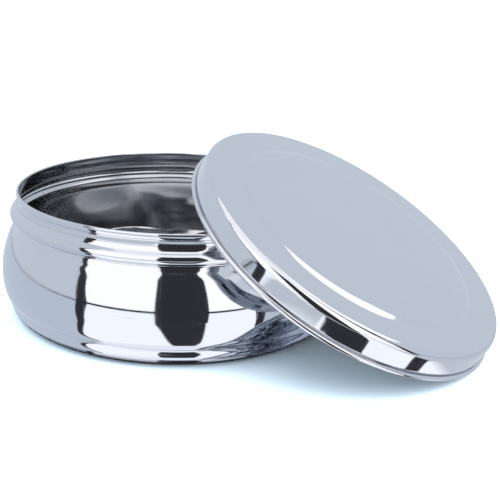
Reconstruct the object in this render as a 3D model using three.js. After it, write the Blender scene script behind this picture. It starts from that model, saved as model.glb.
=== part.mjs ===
// A masala dabba: a round spice box pressed from polished steel sheet. The box has a bulging wall and a
// beaded neck, its lid leans on the rim with one edge on the table, seven cups stand inside and a small
// spoon lies across the middle cup. Millimetres, +Z up, origin on the table under the middle of the box.
import * as THREE from "three";

// ---- driving dimensions ----
const SHEET = 0.8; // steel sheet of the box and the lid
const CUP_SHEET = 0.7;

const BOX_HEIGHT = 72;
const RIM_RADIUS = 91.8; // outside of the folded rim
const NECK_RADIUS = 91.3; // outside of the straight neck under the rim
const BELLY_RADIUS = 100.7; // widest outside radius of the box
const BELLY_HEIGHT = 25; // height of that widest place
const HEEL_RADIUS = 10.4; // rounding between the flat base and the wall
const BASE_RADIUS = 86.5; // flat underside
const BEAD_RADIUS = 3.2; // half-round bead that the lid's edge comes down to
const BEAD_HEIGHT = 59.1;
const BEAD_INSET = 1; // the bead's middle, outside the neck
const NECK_START = 65.4; // the straight neck runs from here
const NECK_END = 68.3; // to here
const HEM_START = 68.9; // lower edge of the folded rim

const LID_EDGE_RADIUS = 94.8; // outside of the lid's rolled edge
const LID_ROLL = 1.35; // radius of the roll itself
const LID_HEIGHT = 16.1; // from the middle of the rolled edge to the raised panel
const LID_SHOULDER = 4; // rounding between the lid's skirt and its top
const LID_PANEL_RADIUS = 70; // raised middle panel
const LID_STEP = 1.2; // height of that panel above the flat ring round it
const LID_STEP_WIDTH = 3.6;
const LID_PANEL_EDGE = 2.5; // width of the soft edge inside the step
const LID_CROWN = 0.4; // how much the panel bulges in the middle
const SKIRT_INSET = 0.3; // the skirt's outside, inside the middle of the roll
const SKIRT_START = 1.1; // where the skirt leaves the roll

// The lid leans on the rim: it is tilted towards LEAN_HEADING, and its rolled edge stands on the table.
const LEAN_TILT = THREE.MathUtils.degToRad(29.8);
const LEAN_HEADING = THREE.MathUtils.degToRad(-23.8);
const LID_PLACE = { x: 96.0, y: -37.1 };

const CUP_RADIUS = 27.2; // outside of a cup's lip
const CUP_HEIGHT = 22;
const CUP_BASE_RADIUS = 16;
const CUP_CORNER = 6; // rounding between a cup's base and its wall
const CUP_WALL = { radius: 25.3, height: 14.5 }; // a place half way up the flared wall
const CUP_LIP = 0.9; // how far the lip stands out
const CUP_LIP_HEIGHT = 1.4;
const CUP_LIP_EDGE = 0.4; // bevel along the lip's top
const CUP_PITCH = 60.3; // distance between the axes of neighbouring cups
const RING_CUPS = 6;

const SPOON_BOWL_LENGTH = 27;
const SPOON_BOWL_WIDTH = 17;
const SPOON_BOWL_DEPTH = 4.5;
const SPOON_LENGTH = 92;
const SPOON_THICKNESS = 1;
const SPOON_HANDLE = 1.7; // half width of the handle
const SPOON_FLARE = 0.7; // how much wider that half is at the end
const SPOON_FLARE_LENGTH = 18;
const SPOON_END = 2.7; // rounding of the handle's end
const SPOON_TIP_WIDTH = 0.35; // half width that its two ends keep
const SPOON_TIP = 26.1; // the bowl's tip, behind the middle cup's axis

const GAP = 0.3; // left between pieces that rest on each other
const ROUND_STEPS = 48; // facets around the box and the lid
const CUP_STEPS = 20;

const STEEL = { color: 0xc9ccd2, roughness: 0.08, metalness: 1 };

// ---- outlines: points (radius, height) ----
const point = (radius, height) => new THREE.Vector2(radius, height);

// Points along a round stretch, from one angle to another in degrees.
function arc(centreRadius, centreHeight, radius, from, to, steps) {
  return Array.from({ length: steps + 1 }, (_, i) => {
    const angle = THREE.MathUtils.degToRad(from + ((to - from) * i) / steps);
    return point(centreRadius + radius * Math.cos(angle), centreHeight + radius * Math.sin(angle));
  });
}

// Points along a smooth curve through a few places.
function curve(places, steps) {
  return new THREE.SplineCurve(places.map(([radius, height]) => point(radius, height))).getPoints(steps);
}

// The same outline one sheet thickness to its left, which is the inside when the outline runs from the
// middle of the base up to the rim.
function offset(outline, thickness) {
  return outline.map((here, i) => {
    const before = outline[Math.max(i - 1, 0)];
    const after = outline[Math.min(i + 1, outline.length - 1)];
    const along = after.clone().sub(before).normalize();
    return point(Math.max(here.x - along.y * thickness, 0), here.y + along.x * thickness);
  });
}

// Turns a closed outline round the Z axis. The outline runs from the axis to the axis.
function turned(outline, steps) {
  return new THREE.LatheGeometry(outline, steps).rotateX(Math.PI / 2);
}

// ---- the box ----
function boxGeometry() {
  const beadCentre = NECK_RADIUS + BEAD_INSET;
  const wall = [
    point(0, 0),
    ...arc(BASE_RADIUS, HEEL_RADIUS, HEEL_RADIUS, -90, -4, 4),
    ...curve(
      [
        [97.3, 11.2],
        [99.6, 16],
        [BELLY_RADIUS, BELLY_HEIGHT],
        [100.2, 33],
        [98.3, 41.2],
        [95.5, 48.8],
        [92.6, 52.8],
        [91, 55],
      ],
      8,
    ),
    ...arc(beadCentre, BEAD_HEIGHT, BEAD_RADIUS, -52, 66, 5),
    point(NECK_RADIUS + 0.4, NECK_START - 1.8),
    point(NECK_RADIUS, NECK_START),
    point(NECK_RADIUS, NECK_END),
  ];
  const inside = offset(wall, SHEET);
  inside[0].set(0, SHEET);
  const hem = SHEET; // the rim is folded over, so it is two sheets thick
  const rim = [
    point(RIM_RADIUS, HEM_START),
    ...arc(RIM_RADIUS - hem, BOX_HEIGHT - hem, hem, 0, 180, 4),
    point(RIM_RADIUS - 2 * hem, HEM_START),
  ];
  return turned([...wall, ...rim, ...inside.reverse()], ROUND_STEPS);
}

// ---- the lid, mouth down, with the middle of its rolled edge at height 0 ----
function lidGeometry() {
  const rollCentre = LID_EDGE_RADIUS - LID_ROLL;
  const skirt = rollCentre - SKIRT_INSET;
  const ring = LID_HEIGHT - LID_STEP;
  const middle = LID_HEIGHT + LID_CROWN;
  const outside = [
    point(skirt, SKIRT_START),
    ...arc(skirt - LID_SHOULDER, ring - LID_SHOULDER, LID_SHOULDER, 0, 84, 4),
    point(LID_PANEL_RADIUS + LID_STEP_WIDTH, ring),
    point(LID_PANEL_RADIUS + LID_STEP_WIDTH / 2, ring + 0.3 * LID_STEP),
    point(LID_PANEL_RADIUS, ring + 0.9 * LID_STEP),
    point(LID_PANEL_RADIUS - LID_PANEL_EDGE, LID_HEIGHT),
    point(0, middle),
  ];
  const inside = offset(outside, SHEET);
  inside[inside.length - 1].set(0, middle - SHEET);
  const roll = arc(rollCentre, 0, LID_ROLL, 125, -240, 8).slice(1, -1);
  return turned([...inside.reverse(), ...roll.reverse(), ...outside], ROUND_STEPS);
}

// ---- a cup: flat base, flared wall and a narrow lip ----
function cupGeometry() {
  const wall = [
    point(0, 0),
    ...arc(CUP_BASE_RADIUS, CUP_CORNER, CUP_CORNER, -90, -12, 3),
    point(CUP_WALL.radius, CUP_WALL.height),
    point(CUP_RADIUS - CUP_LIP, CUP_HEIGHT - CUP_LIP_HEIGHT),
  ];
  const inside = offset(wall, CUP_SHEET);
  inside[0].set(0, CUP_SHEET);
  const lip = [
    point(CUP_RADIUS, CUP_HEIGHT - CUP_LIP_HEIGHT + CUP_LIP_EDGE),
    point(CUP_RADIUS, CUP_HEIGHT - CUP_LIP_EDGE),
    point(CUP_RADIUS - CUP_LIP_EDGE, CUP_HEIGHT),
    point(CUP_RADIUS - 2 * CUP_SHEET, CUP_HEIGHT),
  ];
  return turned([...wall, ...lip, ...inside.reverse()], CUP_STEPS);
}

// ---- the spoon: a dished bowl running into a narrow strip handle, along +X from the bowl's tip ----
function spoonHalfWidth(x) {
  const bowl = SPOON_BOWL_LENGTH / 2;
  const flare = THREE.MathUtils.smoothstep(x, SPOON_LENGTH - SPOON_FLARE_LENGTH - SPOON_END, SPOON_LENGTH);
  const handle = SPOON_HANDLE + SPOON_FLARE * flare;
  const across = 1 - ((x - bowl) / bowl) ** 2;
  const round = x < SPOON_BOWL_LENGTH ? (SPOON_BOWL_WIDTH / 2) * Math.sqrt(Math.max(across, 0)) : 0;
  const beyond = Math.max((x - SPOON_LENGTH + SPOON_END) / SPOON_END, 0);
  const end = Math.sqrt(Math.max(1 - beyond ** 2, 0));
  return Math.max(round, x > bowl ? handle * end : 0, SPOON_TIP_WIDTH);
}

function spoonHeight(x, side) {
  const bowl = SPOON_BOWL_LENGTH / 2;
  const reach = Math.min(((x - bowl) / bowl) ** 2 + side ** 2 * 0.9, 1);
  return x < SPOON_BOWL_LENGTH ? -SPOON_BOWL_DEPTH * (1 - reach) : 0;
}

function spoonGeometry() {
  const lengths = 24;
  const sides = [-1, -0.5, 0, 0.5, 1];
  const positions = [];
  for (const lift of [SPOON_THICKNESS / 2, -SPOON_THICKNESS / 2]) {
    for (let i = 0; i <= lengths; i += 1) {
      const x = 0.1 + ((SPOON_LENGTH - 0.2) * (1 - Math.cos((Math.PI * i) / lengths))) / 2;
      for (const side of sides) {
        positions.push(x, side * spoonHalfWidth(x), spoonHeight(x, side) + lift);
      }
    }
  }
  const across = sides.length;
  const face = (lengths + 1) * across;
  const index = [];
  const quad = (a, b, c, d) => index.push(a, b, c, a, c, d);
  for (let i = 0; i < lengths; i += 1) {
    const row = i * across;
    for (let j = 0; j < across - 1; j += 1) {
      const corner = row + j;
      quad(corner, corner + across, corner + across + 1, corner + 1);
      quad(face + corner, face + corner + 1, face + corner + across + 1, face + corner + across);
    }
    quad(row, face + row, face + row + across, row + across);
    const last = row + across - 1;
    quad(last, last + across, face + last + across, face + last);
  }
  const tail = lengths * across;
  for (let j = 0; j < across - 1; j += 1) {
    quad(j, j + 1, face + j + 1, face + j);
    quad(tail + j, face + tail + j, face + tail + j + 1, tail + j + 1);
  }
  const geometry = new THREE.BufferGeometry();
  geometry.setAttribute("position", new THREE.Float32BufferAttribute(positions, 3));
  geometry.setIndex(index);
  return geometry;
}

// ---- assembly ----
function piece(name, geometry) {
  const mesh = new THREE.Mesh(geometry, new THREE.MeshStandardMaterial(STEEL));
  mesh.name = name;
  return mesh;
}

function leaningLid() {
  const heading = new THREE.Group();
  const tilt = new THREE.Group();
  const edgeCentre = LID_EDGE_RADIUS - LID_ROLL;
  heading.position.set(LID_PLACE.x, LID_PLACE.y, edgeCentre * Math.sin(LEAN_TILT) + LID_ROLL);
  heading.rotation.z = LEAN_HEADING;
  tilt.rotation.y = LEAN_TILT;
  tilt.add(piece("lid", lidGeometry()));
  heading.add(tilt);
  return heading;
}

function cups() {
  const group = new THREE.Group();
  group.position.z = SHEET + GAP;
  group.add(piece("middle_cup", cupGeometry()));
  for (let i = 0; i < RING_CUPS; i += 1) {
    const angle = (2 * Math.PI * i) / RING_CUPS;
    const cup = piece(`ring_cup_${i + 1}`, cupGeometry());
    cup.position.set(CUP_PITCH * Math.cos(angle), CUP_PITCH * Math.sin(angle), 0);
    group.add(cup);
  }
  return group;
}

// The spoon lies level across the middle cup's lip, and its handle reaches out between two ring cups.
function restingSpoon() {
  const heading = new THREE.Group();
  const lip = SHEET + GAP + CUP_HEIGHT;
  heading.position.set(0, SPOON_TIP, lip + GAP + SPOON_THICKNESS / 2);
  heading.rotation.z = -Math.PI / 2;
  heading.add(piece("spoon", spoonGeometry()));
  return heading;
}

const spiceBox = new THREE.Group();
spiceBox.add(piece("box", boxGeometry()), leaningLid(), cups(), restingSpoon());

export default spiceBox;
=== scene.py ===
"""A masala dabba in polished steel: a bulging round box, its leaning lid, seven cups and a small spoon."""

import math

import bmesh
import bpy
from mathutils import Euler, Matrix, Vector


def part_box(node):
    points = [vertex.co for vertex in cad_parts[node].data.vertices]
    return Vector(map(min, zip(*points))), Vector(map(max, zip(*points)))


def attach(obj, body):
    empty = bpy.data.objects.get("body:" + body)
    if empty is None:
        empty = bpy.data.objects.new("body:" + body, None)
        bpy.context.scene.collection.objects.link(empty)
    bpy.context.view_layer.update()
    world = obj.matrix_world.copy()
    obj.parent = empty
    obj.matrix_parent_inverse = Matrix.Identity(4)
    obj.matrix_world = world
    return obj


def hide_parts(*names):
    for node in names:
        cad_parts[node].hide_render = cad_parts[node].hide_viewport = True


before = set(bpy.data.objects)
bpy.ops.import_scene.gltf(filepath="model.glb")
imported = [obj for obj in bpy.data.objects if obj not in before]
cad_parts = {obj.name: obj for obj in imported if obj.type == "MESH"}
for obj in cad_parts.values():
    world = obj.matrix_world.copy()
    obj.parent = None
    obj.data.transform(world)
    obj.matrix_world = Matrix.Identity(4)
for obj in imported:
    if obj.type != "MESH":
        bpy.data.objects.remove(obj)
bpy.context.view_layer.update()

MM = 0.001

# ---- sizes in millimetres, as in the design ----
SHEET = 0.8
CUP_SHEET = 0.7
BOX_HEIGHT = 72
RIM_RADIUS = 91.8
NECK_RADIUS = 91.3
BELLY = (100.7, 25)
HEEL_RADIUS = 10.4
BASE_RADIUS = 86.5
BEAD_RADIUS = 3.2
BEAD_HEIGHT = 59.1
BEAD_INSET = 1
HEM_START = 68.9

LID_EDGE_RADIUS = 94.8
LID_ROLL = 1.35
LID_HEIGHT = 16.1
LID_SHOULDER = 4
LID_PANEL_RADIUS = 70
LID_STEP = 1.2
LID_STEP_WIDTH = 3.6
LID_PANEL_EDGE = 2.5
LID_CROWN = 0.4
SKIRT_INSET = 0.3
SKIRT_START = 1.1
LEAN = Euler((0, math.radians(29.8), math.radians(-23.8)))
LID_PLACE = Vector((96.0, -37.1, (LID_EDGE_RADIUS - LID_ROLL) * math.sin(LEAN.y) + LID_ROLL)) * MM

CUP_RADIUS = 27.2
CUP_HEIGHT = 22
CUP_BASE_RADIUS = 16
CUP_CORNER = 6
CUP_LIP = 0.9
RING_CUPS = 6

SPOON_LENGTH = 92
SPOON_BOWL = (27, 17, 4.5)
SPOON_THICKNESS = 1
SPOON_HANDLE = 1.7
SPOON_FLARE = 0.7
SPOON_FLARE_LENGTH = 18
SPOON_END = 2.7
SPOON_TIP_WIDTH = 0.3
SPOON_INSET = 0.1

ROUND_STEPS = 288
CUP_STEPS = 144
SPOON_STEPS = (110, 16)

# How far spun sheet strays inwards from truly round, in metres.
BOX_DENTS = 0.00004
LID_DENTS = 0.00006
CUP_DENTS = 0.0001


# ---- node trees ----
class Net:
    """A node tree being wired. add() makes one node from its type, its settings and its sockets."""

    def __init__(self, tree):
        self.tree = tree

    def add(self, kind, settings=None, sockets=None, output=0):
        node = self.tree.nodes.new(kind)
        for name, value in (settings or {}).items():
            if name == "stops":
                self.ramp(node, value)
            else:
                setattr(node, name, value)
        for name, value in (sockets or {}).items():
            self.join(value, node.inputs[name])
        return Wire(self, node, output)

    def join(self, value, socket):
        if isinstance(value, Wire):
            self.tree.links.new(value.socket, socket)
        else:
            socket.default_value = value

    def ramp(self, node, stops):
        points = node.color_ramp.elements
        while len(points) < len(stops):
            points.new(1)
        for point, (place, shade) in zip(points, stops):
            point.position = place
            point.color = (shade, shade, shade, 1)

    def sums(self, operation, *values, clamp=False):
        return self.add("ShaderNodeMath", {"operation": operation, "use_clamp": clamp}, dict(enumerate(values)))

    def colour(self, factor, low, high):
        return self.add("ShaderNodeMix", {"data_type": "RGBA"}, {0: factor, 6: low, 7: high}, 2)


class Wire:
    """An output socket that can stand in a sum: each operator adds one Math node."""

    def __init__(self, net, node, output):
        self.net = net
        self.node = node
        self.socket = node.outputs[output] if node.outputs else None

    def out(self, output):
        return Wire(self.net, self.node, output)

    def __add__(self, other):
        return self.net.sums("ADD", self, other)

    def __sub__(self, other):
        return self.net.sums("SUBTRACT", self, other)

    def __mul__(self, other):
        return self.net.sums("MULTIPLY", self, other)

    def __truediv__(self, other):
        return self.net.sums("DIVIDE", self, other)

    def __radd__(self, other):
        return self.net.sums("ADD", other, self)

    def __rsub__(self, other):
        return self.net.sums("SUBTRACT", other, self)

    def __rmul__(self, other):
        return self.net.sums("MULTIPLY", other, self)


# ---- outlines: (radius, height) points ----
def arc(centre, radius, start, end, steps):
    """Points along a round stretch, from one angle to another in degrees."""
    angles = [math.radians(start + (end - start) * i / steps) for i in range(steps + 1)]
    return [(centre[0] + radius * math.cos(a), centre[1] + radius * math.sin(a)) for a in angles]


def curve(places, steps):
    """Points along a smooth curve that passes through every place."""
    ends = [places[0], *places, places[-1]]
    points = []
    for before, start, end, after in zip(ends, ends[1:], ends[2:], ends[3:]):
        for i in range(steps):
            t = i / steps
            points.append(tuple(
                0.5 * (2 * b + (c - a) * t + (2 * a - 5 * b + 4 * c - d) * t * t
                       + (3 * b - a - 3 * c + d) * t ** 3)
                for a, b, c, d in zip(before, start, end, after)
            ))
    return [*points, tuple(places[-1])]


def offset(outline, thickness):
    """The same outline one sheet thickness to its left."""
    moved = []
    for i, (radius, height) in enumerate(outline):
        before = outline[max(i - 1, 0)]
        after = outline[min(i + 1, len(outline) - 1)]
        along = (Vector(after) - Vector(before)).normalized()
        moved.append((max(radius - along.y * thickness, 0), height + along.x * thickness))
    return moved


def box_outline():
    wall = [
        *curve([(0, 0), (30, 0), (60, 0), (BASE_RADIUS - 4, 0)], 3),
        *arc((BASE_RADIUS, HEEL_RADIUS), HEEL_RADIUS, -90, -4, 20),
        *curve([(97.3, 11.2), (99.6, 16), BELLY, (100.2, 33), (98.3, 41.2), (95.35, 48.8), (92.7, 52.8),
                (91.35, 55)], 8),
        *arc((NECK_RADIUS + BEAD_INSET, BEAD_HEIGHT), BEAD_RADIUS, -52, 66, 18),
        *curve([(NECK_RADIUS + 0.9, 62.8), (NECK_RADIUS + 0.4, 63.6), (NECK_RADIUS, 65.4),
                (NECK_RADIUS, 68.3)], 4),
    ]
    inside = offset(wall, SHEET)
    inside[0] = (0, SHEET)
    rim = [
        (NECK_RADIUS + 0.15, HEM_START - 0.2),
        (RIM_RADIUS - 0.1, HEM_START),
        (RIM_RADIUS, HEM_START + 0.15),
        *arc((RIM_RADIUS - SHEET, BOX_HEIGHT - SHEET), SHEET, 0, 180, 14),
        (RIM_RADIUS - 2 * SHEET, HEM_START + 0.1),
    ]
    return [*wall, *rim, *reversed(inside)]


def lid_outline():
    roll_centre = LID_EDGE_RADIUS - LID_ROLL
    skirt = roll_centre - SKIRT_INSET
    ring = LID_HEIGHT - LID_STEP
    shoulder = (skirt - LID_SHOULDER, ring - LID_SHOULDER)
    outside = [
        (skirt, SKIRT_START),
        (skirt, SKIRT_START + 2),
        (skirt, shoulder[1] - 2),
        *arc(shoulder, LID_SHOULDER, 0, 84, 20),
        *curve([(shoulder[0] - 2, ring), (82, ring), (LID_PANEL_RADIUS + LID_STEP_WIDTH + 1.5, ring),
                (LID_PANEL_RADIUS + LID_STEP_WIDTH, ring + 0.03),
                (LID_PANEL_RADIUS + LID_STEP_WIDTH / 2, ring + 0.35 * LID_STEP),
                (LID_PANEL_RADIUS, ring + 0.75 * LID_STEP), (LID_PANEL_RADIUS - LID_PANEL_EDGE, LID_HEIGHT - 0.1),
                (LID_PANEL_RADIUS - 6, LID_HEIGHT), (LID_PANEL_RADIUS - 10, LID_HEIGHT + 0.04)], 6),
        *((radius, LID_HEIGHT + LID_CROWN * (1 - (radius / LID_PANEL_RADIUS) ** 2))
          for radius in range(55, -1, -5)),
    ]
    inside = offset(outside, SHEET)
    inside[-1] = (0, outside[-1][1] - SHEET)
    roll = arc((roll_centre, 0), LID_ROLL, 125, -240, 40)[1:-1]
    return [*reversed(inside), *reversed(roll), *outside]


def cup_outline():
    lip = CUP_RADIUS - CUP_LIP
    wall = [
        (0, 0),
        (8, 0),
        *arc((CUP_BASE_RADIUS, CUP_CORNER), CUP_CORNER, -90, -12, 14),
        *curve([(22.9, 8), (25.3, 14.5), (26, 18.5), (lip, CUP_HEIGHT - 1.4)], 4),
    ]
    inside = offset(wall, CUP_SHEET)
    inside[0] = (0, CUP_SHEET)
    rim = [
        (CUP_RADIUS - 0.2, CUP_HEIGHT - 1.2),
        *arc((CUP_RADIUS - 0.5, CUP_HEIGHT - 0.5), 0.5, -30, 90, 8),
        (CUP_RADIUS - 1.1, CUP_HEIGHT),
        (CUP_RADIUS - 1.4, CUP_HEIGHT - 0.15),
    ]
    return [*wall, *rim, *reversed(inside)]


# ---- turned sheet: one tree spins an outline into a closed shell ----
def turned_sheet_tree():
    tree = bpy.data.node_groups.new("turned sheet", "GeometryNodeTree")
    wanted = (
        ("Outline", "NodeSocketGeometry"), ("Steps Around", "NodeSocketInt"), ("Rows", "NodeSocketInt"),
        ("Dents", "NodeSocketFloat"), ("Seed", "NodeSocketFloat"), ("Place", "NodeSocketVector"),
        ("Turn", "NodeSocketVector"), ("Finish", "NodeSocketMaterial"),
    )
    for name, kind in wanted:
        tree.interface.new_socket(name, in_out="INPUT", socket_type=kind)
    tree.interface.new_socket("Shell", in_out="OUTPUT", socket_type="NodeSocketGeometry")
    net = Net(tree)
    given = net.add("NodeGroupInput")
    steps, rows = given.out("Steps Around"), given.out("Rows")
    grid = net.add("GeometryNodeMeshGrid", None,
                   {"Size X": 1.0, "Size Y": 1.0, "Vertices X": steps + 1, "Vertices Y": rows})
    here = net.add("ShaderNodeSeparateXYZ", None, {0: net.add("GeometryNodeInputPosition")})
    angle = (here + 0.5) * math.tau
    row = net.sums("ROUND", (here.out(1) + 0.5) * (rows - 1))
    sample = net.add("GeometryNodeSampleIndex", {"data_type": "FLOAT_VECTOR", "domain": "POINT"}, {
        "Geometry": given.out("Outline"), "Value": net.add("GeometryNodeInputPosition"), "Index": row})
    place = net.add("ShaderNodeSeparateXYZ", None, {0: sample})
    radius, height = place, place.out(2)
    across, along = net.sums("COSINE", angle), net.sums("SINE", angle)
    # Real spun sheet is very slightly out of round: slow, shallow dents that only ever go inwards.
    direction = net.add("ShaderNodeCombineXYZ", None, {0: across, 1: along, 2: height * 12})
    slow = net.add("ShaderNodeTexNoise", {"noise_dimensions": "4D"},
                   {"Vector": direction, "W": given.out("Seed"), "Scale": 1.1, "Detail": 1.0})
    rim = radius - slow * given.out("Dents") * net.sums("MINIMUM", radius * 30, 1)
    spun = net.add("ShaderNodeCombineXYZ", None, {0: rim * across, 1: rim * along, 2: height})
    shell = net.add("GeometryNodeSetPosition", None, {"Geometry": grid, "Position": spun})
    shell = net.add("GeometryNodeMergeByDistance", None, {"Geometry": shell, "Distance": 2e-6})
    shell = net.add("GeometryNodeSetShadeSmooth", None, {"Geometry": shell})
    shell = net.add("GeometryNodeTransform", None, {
        "Geometry": shell, "Translation": given.out("Place"), "Rotation": given.out("Turn")})
    shell = net.add("GeometryNodeRealizeInstances", None, {"Geometry": shell})
    shell = net.add("GeometryNodeSetMaterial", None, {"Geometry": shell, "Material": given.out("Finish")})
    net.add("NodeGroupOutput", None, {0: shell})
    return tree


def turned(name, outline, tree, **inputs):
    """Spins an outline with the tree and returns the finished shell as a plain mesh object."""
    mesh = bpy.data.meshes.new(name)
    mesh.from_pydata([(radius * MM, 0, height * MM) for radius, height in outline], [], [])
    shell = bpy.data.objects.new(name, mesh)
    bpy.context.scene.collection.objects.link(shell)
    spin = shell.modifiers.new("spin", "NODES")
    spin.node_group = tree
    inputs["Rows"] = len(outline)
    for item in tree.interface.items_tree:
        if item.in_out == "INPUT" and item.name in inputs:
            spin[item.identifier] = inputs[item.name]
    bpy.context.view_layer.update()
    finished = bpy.data.meshes.new_from_object(shell.evaluated_get(bpy.context.evaluated_depsgraph_get()))
    shell.modifiers.remove(spin)
    shell.data = finished
    return shell


# ---- spoon ----
def smooth(value, low, high):
    t = min(max((value - low) / (high - low), 0), 1)
    return t * t * (3 - 2 * t)


def spoon_half_width(x):
    """Half the width of the spoon at a distance from the tip of its bowl."""
    length, width, _ = SPOON_BOWL
    middle = length / 2
    round_edge = width / 2 * math.sqrt(max(1 - ((x - middle) / middle) ** 2, 0)) if x < length else 0
    end = math.sqrt(max(1 - max((x - SPOON_LENGTH + SPOON_END) / SPOON_END, 0) ** 2, 0))
    flare = SPOON_FLARE * smooth(x, SPOON_LENGTH - SPOON_END - SPOON_FLARE_LENGTH, SPOON_LENGTH)
    handle = (SPOON_HANDLE + flare) * end if x > middle else 0
    return max((round_edge ** 8 + handle ** 8) ** (1 / 8), SPOON_TIP_WIDTH)


def spoon_height(x, side):
    """How far the dished bowl dips at a distance from its tip and a share of its half width."""
    length, _, depth = SPOON_BOWL
    middle = length / 2
    reach = min(((x - middle) / middle) ** 2 + 0.9 * side * side, 1)
    return -depth * (1 - reach) ** 1.15 if x < length else 0


def spoon_strip(finish, place):
    """A pressed strip: a dished bowl running into a narrow handle, with rounded edges."""
    lengths, sides = SPOON_STEPS
    verts = []
    for face in (1, -1):
        for i in range(lengths + 1):
            x = SPOON_INSET + (SPOON_LENGTH - 2 * SPOON_INSET) * (1 - math.cos(math.pi * i / lengths)) / 2
            for j in range(sides + 1):
                side = 2 * j / sides - 1
                edge = (1 - abs(side) ** 7) ** 0.5
                point = Vector((side * spoon_half_width(x), -x,
                                spoon_height(x, side) + face * SPOON_THICKNESS / 2 * edge))
                verts.append(place + point * MM)
    layer = (lengths + 1) * (sides + 1)
    faces = []
    for i in range(lengths):
        for j in range(sides):
            a = i * (sides + 1) + j
            b = a + sides + 1
            faces.append((a, b, b + 1, a + 1))
            faces.append((layer + a, layer + a + 1, layer + b + 1, layer + b))
    for i, flip in ((0, 1), (lengths, -1)):
        for j in range(sides):
            a = i * (sides + 1) + j
            faces.append((a, a + 1, layer + a + 1, layer + a)[::flip])
    mesh = bpy.data.meshes.new("spoon_strip")
    mesh.from_pydata(verts, [], faces)
    spoon = bpy.data.objects.new("spoon_strip", mesh)
    bpy.context.scene.collection.objects.link(spoon)
    clean(mesh)
    mesh.shade_smooth()
    mesh.materials.append(finish)
    return spoon


def clean(mesh):
    """Merges doubles and turns every face outwards."""
    work = bmesh.new()
    work.from_mesh(mesh)
    bmesh.ops.remove_doubles(work, verts=work.verts, dist=2e-6)
    bmesh.ops.recalc_face_normals(work, faces=work.faces)
    work.to_mesh(mesh)
    work.free()


# ---- steel ----
STEEL = (0.70, 0.71, 0.735, 1)
STEEL_WORN = (0.655, 0.665, 0.69, 1)
# Darker steel tone painted on the box's inward-facing walls as shade inside it.
STEEL_HOLLOW_PAINTED_SHADE = (0.57, 0.575, 0.59, 1)
POLISH = 0.045
HOLLOW_DULLNESS = 0.075
CUP_DULLNESS = 0.2
SPOON_DULLNESS = 0.11
TURNING_LINES = 2600
TURNING_BANDS = 260
SMEARS = 32.0


def polished_steel(name, place=(0, 0, 0), turn=(0, 0, 0), dullness=POLISH, scratches=1.0, inside=0.0):
    """Mirror-polished steel: turning lines round the piece's own axis, fine scratches and faint smears."""
    material = bpy.data.materials.new(name)
    material.use_nodes = True
    material.node_tree.nodes.clear()
    net = Net(material.node_tree)
    where = net.add("ShaderNodeTexCoord", None, None, "Object")
    own = net.add("ShaderNodeMapping", {"vector_type": "TEXTURE"},
                  {"Vector": where, "Location": place, "Rotation": turn})
    apart = net.add("ShaderNodeSeparateXYZ", None, {0: own})
    x, y, height = apart, apart.out(1), apart.out(2)
    radius = net.sums("SQRT", x * x + y * y)
    # Turning lines stay level round the axis and drift slowly from one side to the other.
    lathe = net.add("ShaderNodeCombineXYZ", None, {
        0: radius * TURNING_LINES, 1: height * TURNING_LINES, 2: x * 9})
    lines = net.add("ShaderNodeTexNoise", {"noise_dimensions": "4D"},
                    {"Vector": lathe, "W": y * 9, "Scale": 1.0, "Detail": 2.0})
    bands = net.add("ShaderNodeTexNoise", None, {
        "Vector": net.add("ShaderNodeCombineXYZ", None, {
            0: radius * TURNING_BANDS, 1: height * TURNING_BANDS, 2: x * 4}),
        "Scale": 1.0, "Detail": 3.0})
    smears = net.add("ShaderNodeTexNoise", None,
                     {"Vector": own, "Scale": SMEARS, "Detail": 4.0, "Roughness": 0.6, "Distortion": 0.8})
    smear = net.add("ShaderNodeValToRGB", {"stops": ((0.45, 0), (0.75, 1))}, {0: smears})
    scratch = fine_scratches(net, own, 35) + fine_scratches(net, own, -52) + fine_scratches(net, own, 8)
    worn = net.sums("MINIMUM", scratch * scratches, 1)
    tone = net.colour(smear * 0.3 + worn * 0.35 + bands * 0.15, STEEL, STEEL_WORN)
    rough = dullness + lines * 0.012 + smear * 0.03 + worn * 0.08
    if inside:
        # The hollow side of a wall is left duller than the side that shows, and its tone is darkened as painted
        # shade inside the box.
        facing = net.add("ShaderNodeSeparateXYZ", None, {0: net.add("ShaderNodeTexCoord", None, None, "Normal")})
        hollow_rough_and_shade = net.sums("MULTIPLY", x * facing + y * facing.out(1), -60, clamp=True)
        rough = rough + hollow_rough_and_shade * inside
        # Painted shade: the inward-facing walls get the darker tone.
        tone = net.colour(hollow_rough_and_shade, tone, STEEL_HOLLOW_PAINTED_SHADE)
    relief = lines * 0.3 + bands * 0.25 - worn * 0.6
    bump = net.add("ShaderNodeBump", None, {"Height": relief, "Strength": 0.06, "Distance": 0.00006})
    steel = net.add("ShaderNodeBsdfPrincipled", None, {
        "Base Color": tone, "Metallic": 1.0, "Roughness": rough, "Normal": bump})
    net.add("ShaderNodeOutputMaterial", None, {"Surface": steel})
    return material


def fine_scratches(net, own, heading):
    """A few hair-thin scratches that all run roughly one way."""
    turned_way = net.add("ShaderNodeMapping", None, {
        "Vector": own, "Rotation": (math.radians(heading), math.radians(heading * 0.6), math.radians(heading)),
        "Scale": (1300, 26, 26)})
    noise = net.add("ShaderNodeTexNoise", None, {"Vector": turned_way, "Scale": 1.0, "Detail": 1.0})
    return net.add("ShaderNodeValToRGB", {"stops": ((0.70, 0), (0.76, 1))}, {0: noise})


# ---- the pieces ----
def middle_of(node):
    low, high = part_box(node)
    return Vector(((low.x + high.x) / 2, (low.y + high.y) / 2, low.z))


def stand_for(piece, node):
    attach(piece, node)
    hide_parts(node)


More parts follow.
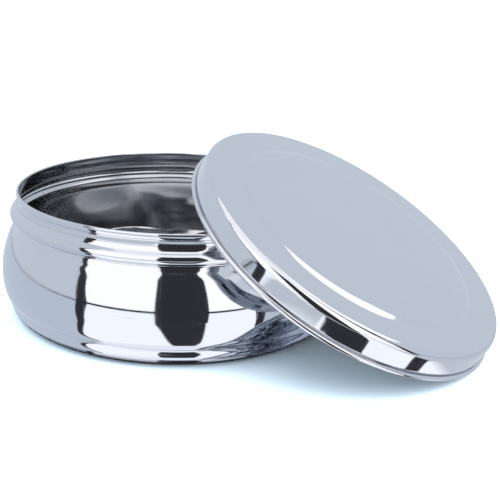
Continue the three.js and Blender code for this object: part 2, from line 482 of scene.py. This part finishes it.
def make_pieces():
    tree = turned_sheet_tree()
    box = turned("box_shell", box_outline(), tree, **{
        "Steps Around": ROUND_STEPS, "Dents": BOX_DENTS, "Seed": 1.0,
        "Finish": polished_steel("box steel", scratches=0.6, inside=HOLLOW_DULLNESS)})
    stand_for(box, "box")
    lid = turned("lid_shell", lid_outline(), tree, **{
        "Steps Around": ROUND_STEPS, "Dents": LID_DENTS, "Seed": 4.0, "Place": LID_PLACE, "Turn": Vector(LEAN),
        "Finish": polished_steel("lid steel", LID_PLACE, LEAN)})
    stand_for(lid, "lid")
    for i, node in enumerate(["middle_cup", *(f"ring_cup_{n + 1}" for n in range(RING_CUPS))]):
        place = middle_of(node)
        cup = turned(f"{node}_shell", cup_outline(), tree, **{
            "Steps Around": CUP_STEPS, "Dents": CUP_DENTS, "Seed": 7.0 + i, "Place": place,
            "Finish": polished_steel(f"{node} steel", place, dullness=CUP_DULLNESS, scratches=1.3)})
        stand_for(cup, node)
    low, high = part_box("spoon")
    tip = Vector((0, high.y + SPOON_INSET * MM, high.z - SPOON_THICKNESS / 2 * MM))
    spoon = spoon_strip(polished_steel("spoon steel", tip, dullness=SPOON_DULLNESS, scratches=1.5), tip)
    stand_for(spoon, "spoon")


# ---- studio ----
WHITE = (1.42, 1.42, 1.46)
BRIGHT = (1.2, 1.22, 1.28)
GREY = (0.70, 0.76, 0.85)
SHADE = tuple(0.82 * part for part in GREY)
# Colour of the painted contact shadow under the box, which only the steel sees.
PAINTED_CONTACT_SHADOW = (0.02, 0.022, 0.028)
GLOSSY_DARK = (0.036, 0.037, 0.045)
GLOSS_AND_PAINTED_LIGHT_TINT = (0.90, 0.93, 0.97)

# The round light tent. A stop is (rise, start, end): degrees seen from FRONT, turned from the front towards +X.
FRONT = Vector((0, -0.1, 0.03))
TENT_RADIUS = 0.54
TENT_STEPS = 24
TENT = (
    ("left_softbox", WHITE, ((-2.6, -55, -8.3), (20, -60, -8), (45, -75.5, -8.3), (58, -82, -8.3))),
    ("right_softbox", WHITE, ((-2.6, 28.5, 60), (30, 27.5, 65), (45, 28, 70), (58, 28.5, 76))),
    ("side_softbox", WHITE, ((28, 82, 128), (58, 82, 128))),
    ("left_wall", GREY, ((-2.0, -63.2, -180), (20, -66, -180), (45, -79.5, -180), (58, -86, -180))),
    ("right_wall_low", GREY, ((-2.0, 67, 180), (28, 70, 180))),
    ("right_wall_high", GREY, ((28, 128, 180), (58, 128, 180))),
    ("tent_foot", SHADE, ((-3.2, 67, 296.8), (-2.0, 67, 296.8))),
    ("back_shade", GREY, ((58, 100, 260), (66, 100, 260))),
    ("front_top", BRIGHT, ((58, -100, 100), (90, -100, 100))),
    ("back_top", BRIGHT, ((66, 100, 260), (90, 100, 260))),
)

# The glossy ground, which only the steel sees.
SHEEN_REACH = 0.7
SHEEN_DROP = 0.0004
GLOSS_ROUGHNESS = 0.03
# Radius of the painted contact shadow on the ground under the box.
CONTACT_SHADOW_RADIUS = 0.096
GLOSS_BY_BOX = (-0.06, 0.02, 0.239)
GLOSS_BY_LID = (0.125, -0.035, 0.2)
LID_GLOSS_SIDES = (0.0495, 0.156)
SKIM = 0.66
SKIM_MORE_LEFT = 0.09
LEFT_OF = -0.03
# A glowing white patch at the foot of the box, painted light on the ground that only the steel reflects, with a
# narrow dark tongue that widens away from it.
LIT_PATCH_EDGE = -0.101
LIT_PATCH_AHEAD = (0.006, 0.078)
LIT_PATCH_HALF_WIDTH = 0.045
TONGUE_MIDDLE = 0.0175
TONGUE_DRIFT = 0.07
TONGUE_HALF_WIDTH = 0.0064
TONGUE_SPREAD = 0.37

FLOOR_REACH = 1.1
FLOOR_PALE = (0.90, 0.92, 0.94)
SKY_SOFT = (0.60, 0.80, 0.95)
SKY_STRENGTH = 2.3
BACKDROP_STRENGTH = 1.1
# name, place, size in metres, watts
LAMPS = (("top light", (0.0, 0.1, 1.9), 2.6, 48), ("side light", (1.3, -0.9, 1.1), 1.4, 18))

CAMERA_TARGET = Vector((0.044, 0, 0.0355))
CAMERA_RISE = 18.23
CAMERA_ROLL = 2.43
CAMERA_DISTANCE = 0.5948
CAMERA_LENS = 72
CAMERA_SENSOR = 36


def plain(name, kind, **sockets):
    material = bpy.data.materials.new(name)
    material.use_nodes = True
    material.node_tree.nodes.clear()
    net = Net(material.node_tree)
    shader = net.add(kind, None, {key.replace("_", " "): value for key, value in sockets.items()})
    net.add("ShaderNodeOutputMaterial", None, {"Surface": shader})
    return material


def glow(name, colour):
    return plain(name, "ShaderNodeEmission", Color=(*colour, 1), Strength=1.0)


def sheet_of(name, rows, material):
    """A stage object from rows of points, each row as long as the next."""
    mesh = bpy.data.meshes.new(name)
    width = len(rows[0])
    faces = [(i * width + j, i * width + j + 1, (i + 1) * width + j + 1, (i + 1) * width + j)
             for i in range(len(rows) - 1) for j in range(width - 1)]
    mesh.from_pydata([point for row in rows for point in row], [], faces)
    mesh.materials.append(material)
    card = bpy.data.objects.new(name, mesh)
    bpy.context.scene.collection.objects.link(card)
    return card


def only_reflected(card):
    """The steel sees it, and nothing else does."""
    card.visible_camera = False
    card.visible_diffuse = False
    card.visible_shadow = False
    card.visible_transmission = False


def between(stops, value):
    """Start and end at a rise, read off between the nearest stops."""
    for (low, *before), (high, *after) in zip(stops, stops[1:]):
        if value <= high:
            share = (value - low) / (high - low)
            return [a + (b - a) * share for a, b in zip(before, after)]
    return stops[-1][1:]


def tent_point(turn, rise):
    """Where a line of sight from the front of the box meets the tent."""
    turn, rise = math.radians(turn), math.radians(rise)
    sight = Vector((math.cos(rise) * math.sin(turn), -math.cos(rise) * math.cos(turn), math.sin(rise)))
    near = FRONT.dot(sight)
    return FRONT + sight * (math.sqrt(near * near + TENT_RADIUS ** 2 - FRONT.length_squared) - near)


def tent_panel(name, material, stops):
    rows = []
    for i in range(TENT_STEPS + 1):
        rise = stops[0][0] + (stops[-1][0] - stops[0][0]) * i / TENT_STEPS
        start, end = between(stops, rise)
        rows.append([tent_point(start + (end - start) * j / TENT_STEPS, rise) for j in range(TENT_STEPS + 1)])
    only_reflected(sheet_of(name, rows, material))


def make_tent():
    for name, colour, stops in TENT:
        tent_panel(name, glow(f"{name} light", colour), stops)


def disc(net, x, y, circle):
    """1 inside a circle on the ground, 0 outside, with a narrow soft edge."""
    middle_x, middle_y, radius = circle
    across, along = x - middle_x, y - middle_y
    return net.sums("MULTIPLY", radius - net.sums("SQRT", across * across + along * along), 66, clamp=True)


def step_up(net, value, sharpness):
    """0 below nought, 1 above it, over a width of 1 / sharpness."""
    return net.sums("MULTIPLY", value, sharpness, clamp=True)


def painted_light_patch(net, x, y):
    """1 on the patch of painted light in front of the box, 0 on the tongue and everywhere else."""
    ahead = LIT_PATCH_EDGE - y
    aside = net.sums("ABSOLUTE", x - ahead * TONGUE_DRIFT - TONGUE_MIDDLE)
    beside = step_up(net, aside - ahead * TONGUE_SPREAD - TONGUE_HALF_WIDTH, 400)
    start, end = LIT_PATCH_AHEAD
    return (beside * step_up(net, LIT_PATCH_HALF_WIDTH - aside, 200) * step_up(net, ahead - start, 600)
            * step_up(net, end - ahead, 200))


def ground_sheen():
    """Glossy near the pieces and wherever light skims it, soft grey elsewhere, a patch of painted light in front
    of the box and a painted contact shadow under the box.
    """
    material = bpy.data.materials.new("ground sheen")
    material.use_nodes = True
    material.node_tree.nodes.clear()
    net = Net(material.node_tree)
    where = net.add("ShaderNodeSeparateXYZ", None, {0: net.add("ShaderNodeTexCoord", None, None, "Object")})
    x, y = where, where.out(1)
    # Painted contact shadow: the ground turns dark under the box.
    painted_contact_shadow = step_up(net, CONTACT_SHADOW_RADIUS - net.sums("SQRT", x * x + y * y), 200)
    low, high = LID_GLOSS_SIDES
    by_lid = disc(net, x, y, GLOSS_BY_LID) * step_up(net, x - low, 300) * step_up(net, high - x, 130)
    near = net.sums("MAXIMUM", disc(net, x, y, GLOSS_BY_BOX), by_lid)
    skim = net.add("ShaderNodeLayerWeight", None, {"Blend": 0.5}, "Facing")
    skimmed = step_up(net, skim - SKIM - step_up(net, LEFT_OF - x, 30) * SKIM_MORE_LEFT, 30)
    gloss = net.add("ShaderNodeBsdfAnisotropic", None, {"Color": (*GLOSS_AND_PAINTED_LIGHT_TINT, 1), "Roughness": GLOSS_ROUGHNESS})
    soft = net.add("ShaderNodeEmission", None, {"Color": (*GREY, 1), "Strength": 0.97})
    # Dark glow of the painted contact shadow.
    dark = net.add("ShaderNodeEmission", None, {"Color": (*PAINTED_CONTACT_SHADOW, 1), "Strength": 1.0})
    # Painted pool of light: a white glow on the ground in front of the box, seen only in the steel.
    painted_light_glow = net.add("ShaderNodeEmission", None, {"Color": (*GLOSS_AND_PAINTED_LIGHT_TINT, 1), "Strength": WHITE[0]})
    ground = net.add("ShaderNodeMixShader", None, {0: net.sums("MAXIMUM", near, skimmed), 1: soft, 2: gloss})
    ground = net.add("ShaderNodeMixShader", None, {0: painted_light_patch(net, x, y), 1: ground, 2: painted_light_glow})
    ground = net.add("ShaderNodeMixShader", None, {0: painted_contact_shadow, 1: ground, 2: dark})
    net.add("ShaderNodeOutputMaterial", None, {"Surface": ground})
    return material


def square(reach, height):
    return [[(-reach, -reach, height), (reach, -reach, height)], [(-reach, reach, height), (reach, reach, height)]]


def make_floor():
    floor = sheet_of("floor", square(FLOOR_REACH, 0),
                     plain("pale floor", "ShaderNodeBsdfDiffuse", Color=(*FLOOR_PALE, 1)))
    floor.visible_glossy = False
    only_reflected(sheet_of("ground_sheen", square(SHEEN_REACH, -SHEEN_DROP), ground_sheen()))


def make_sky():
    """A white backdrop for the eye, soft blue light for the floor, and a dark room for the steel."""
    world = bpy.data.worlds.new("studio")
    bpy.context.scene.world = world
    world.use_nodes = True
    world.node_tree.nodes.clear()
    net = Net(world.node_tree)
    ray = net.add("ShaderNodeLightPath")
    dark = net.add("ShaderNodeBackground", None, {"Color": (*GLOSSY_DARK, 1), "Strength": 1.0})
    soft = net.add("ShaderNodeBackground", None, {"Color": (*SKY_SOFT, 1), "Strength": SKY_STRENGTH})
    white = net.add("ShaderNodeBackground", None, {"Color": (1, 1, 1, 1), "Strength": BACKDROP_STRENGTH})
    lit = net.add("ShaderNodeMixShader", None, {0: ray.out("Is Glossy Ray"), 1: soft, 2: dark})
    sky = net.add("ShaderNodeMixShader", None, {0: ray.out("Is Camera Ray"), 1: lit, 2: white})
    net.add("ShaderNodeOutputWorld", None, {"Surface": sky})


def make_lamps():
    for name, place, size, power in LAMPS:
        lamp = bpy.data.lights.new(name, "AREA")
        lamp.size = size
        lamp.energy = power
        light = bpy.data.objects.new(name, lamp)
        light.location = place
        light.rotation_euler = (-Vector(place)).to_track_quat("-Z", "Y").to_euler()
        light.visible_glossy = False
        bpy.context.scene.collection.objects.link(light)


def make_camera():
    rise, roll = math.radians(CAMERA_RISE), math.radians(CAMERA_ROLL)
    camera = bpy.data.cameras.new("camera")
    camera.lens, camera.sensor_width = CAMERA_LENS, CAMERA_SENSOR
    camera.clip_start = 0.01
    eye = bpy.data.objects.new("camera", camera)
    eye.location = CAMERA_TARGET + CAMERA_DISTANCE * Vector((0, -math.cos(rise), math.sin(rise)))
    eye.rotation_mode = "QUATERNION"
    level = (CAMERA_TARGET - eye.location).to_track_quat("-Z", "Y")
    eye.rotation_quaternion = level @ Euler((0, 0, roll)).to_quaternion()
    bpy.context.scene.collection.objects.link(eye)
    bpy.context.scene.camera = eye


make_camera()
make_pieces()
make_tent()
make_floor()
make_sky()
make_lamps()
bpy.context.scene.view_settings.view_transform = "Standard"
bpy.context.scene.cycles.glossy_bounces = 10
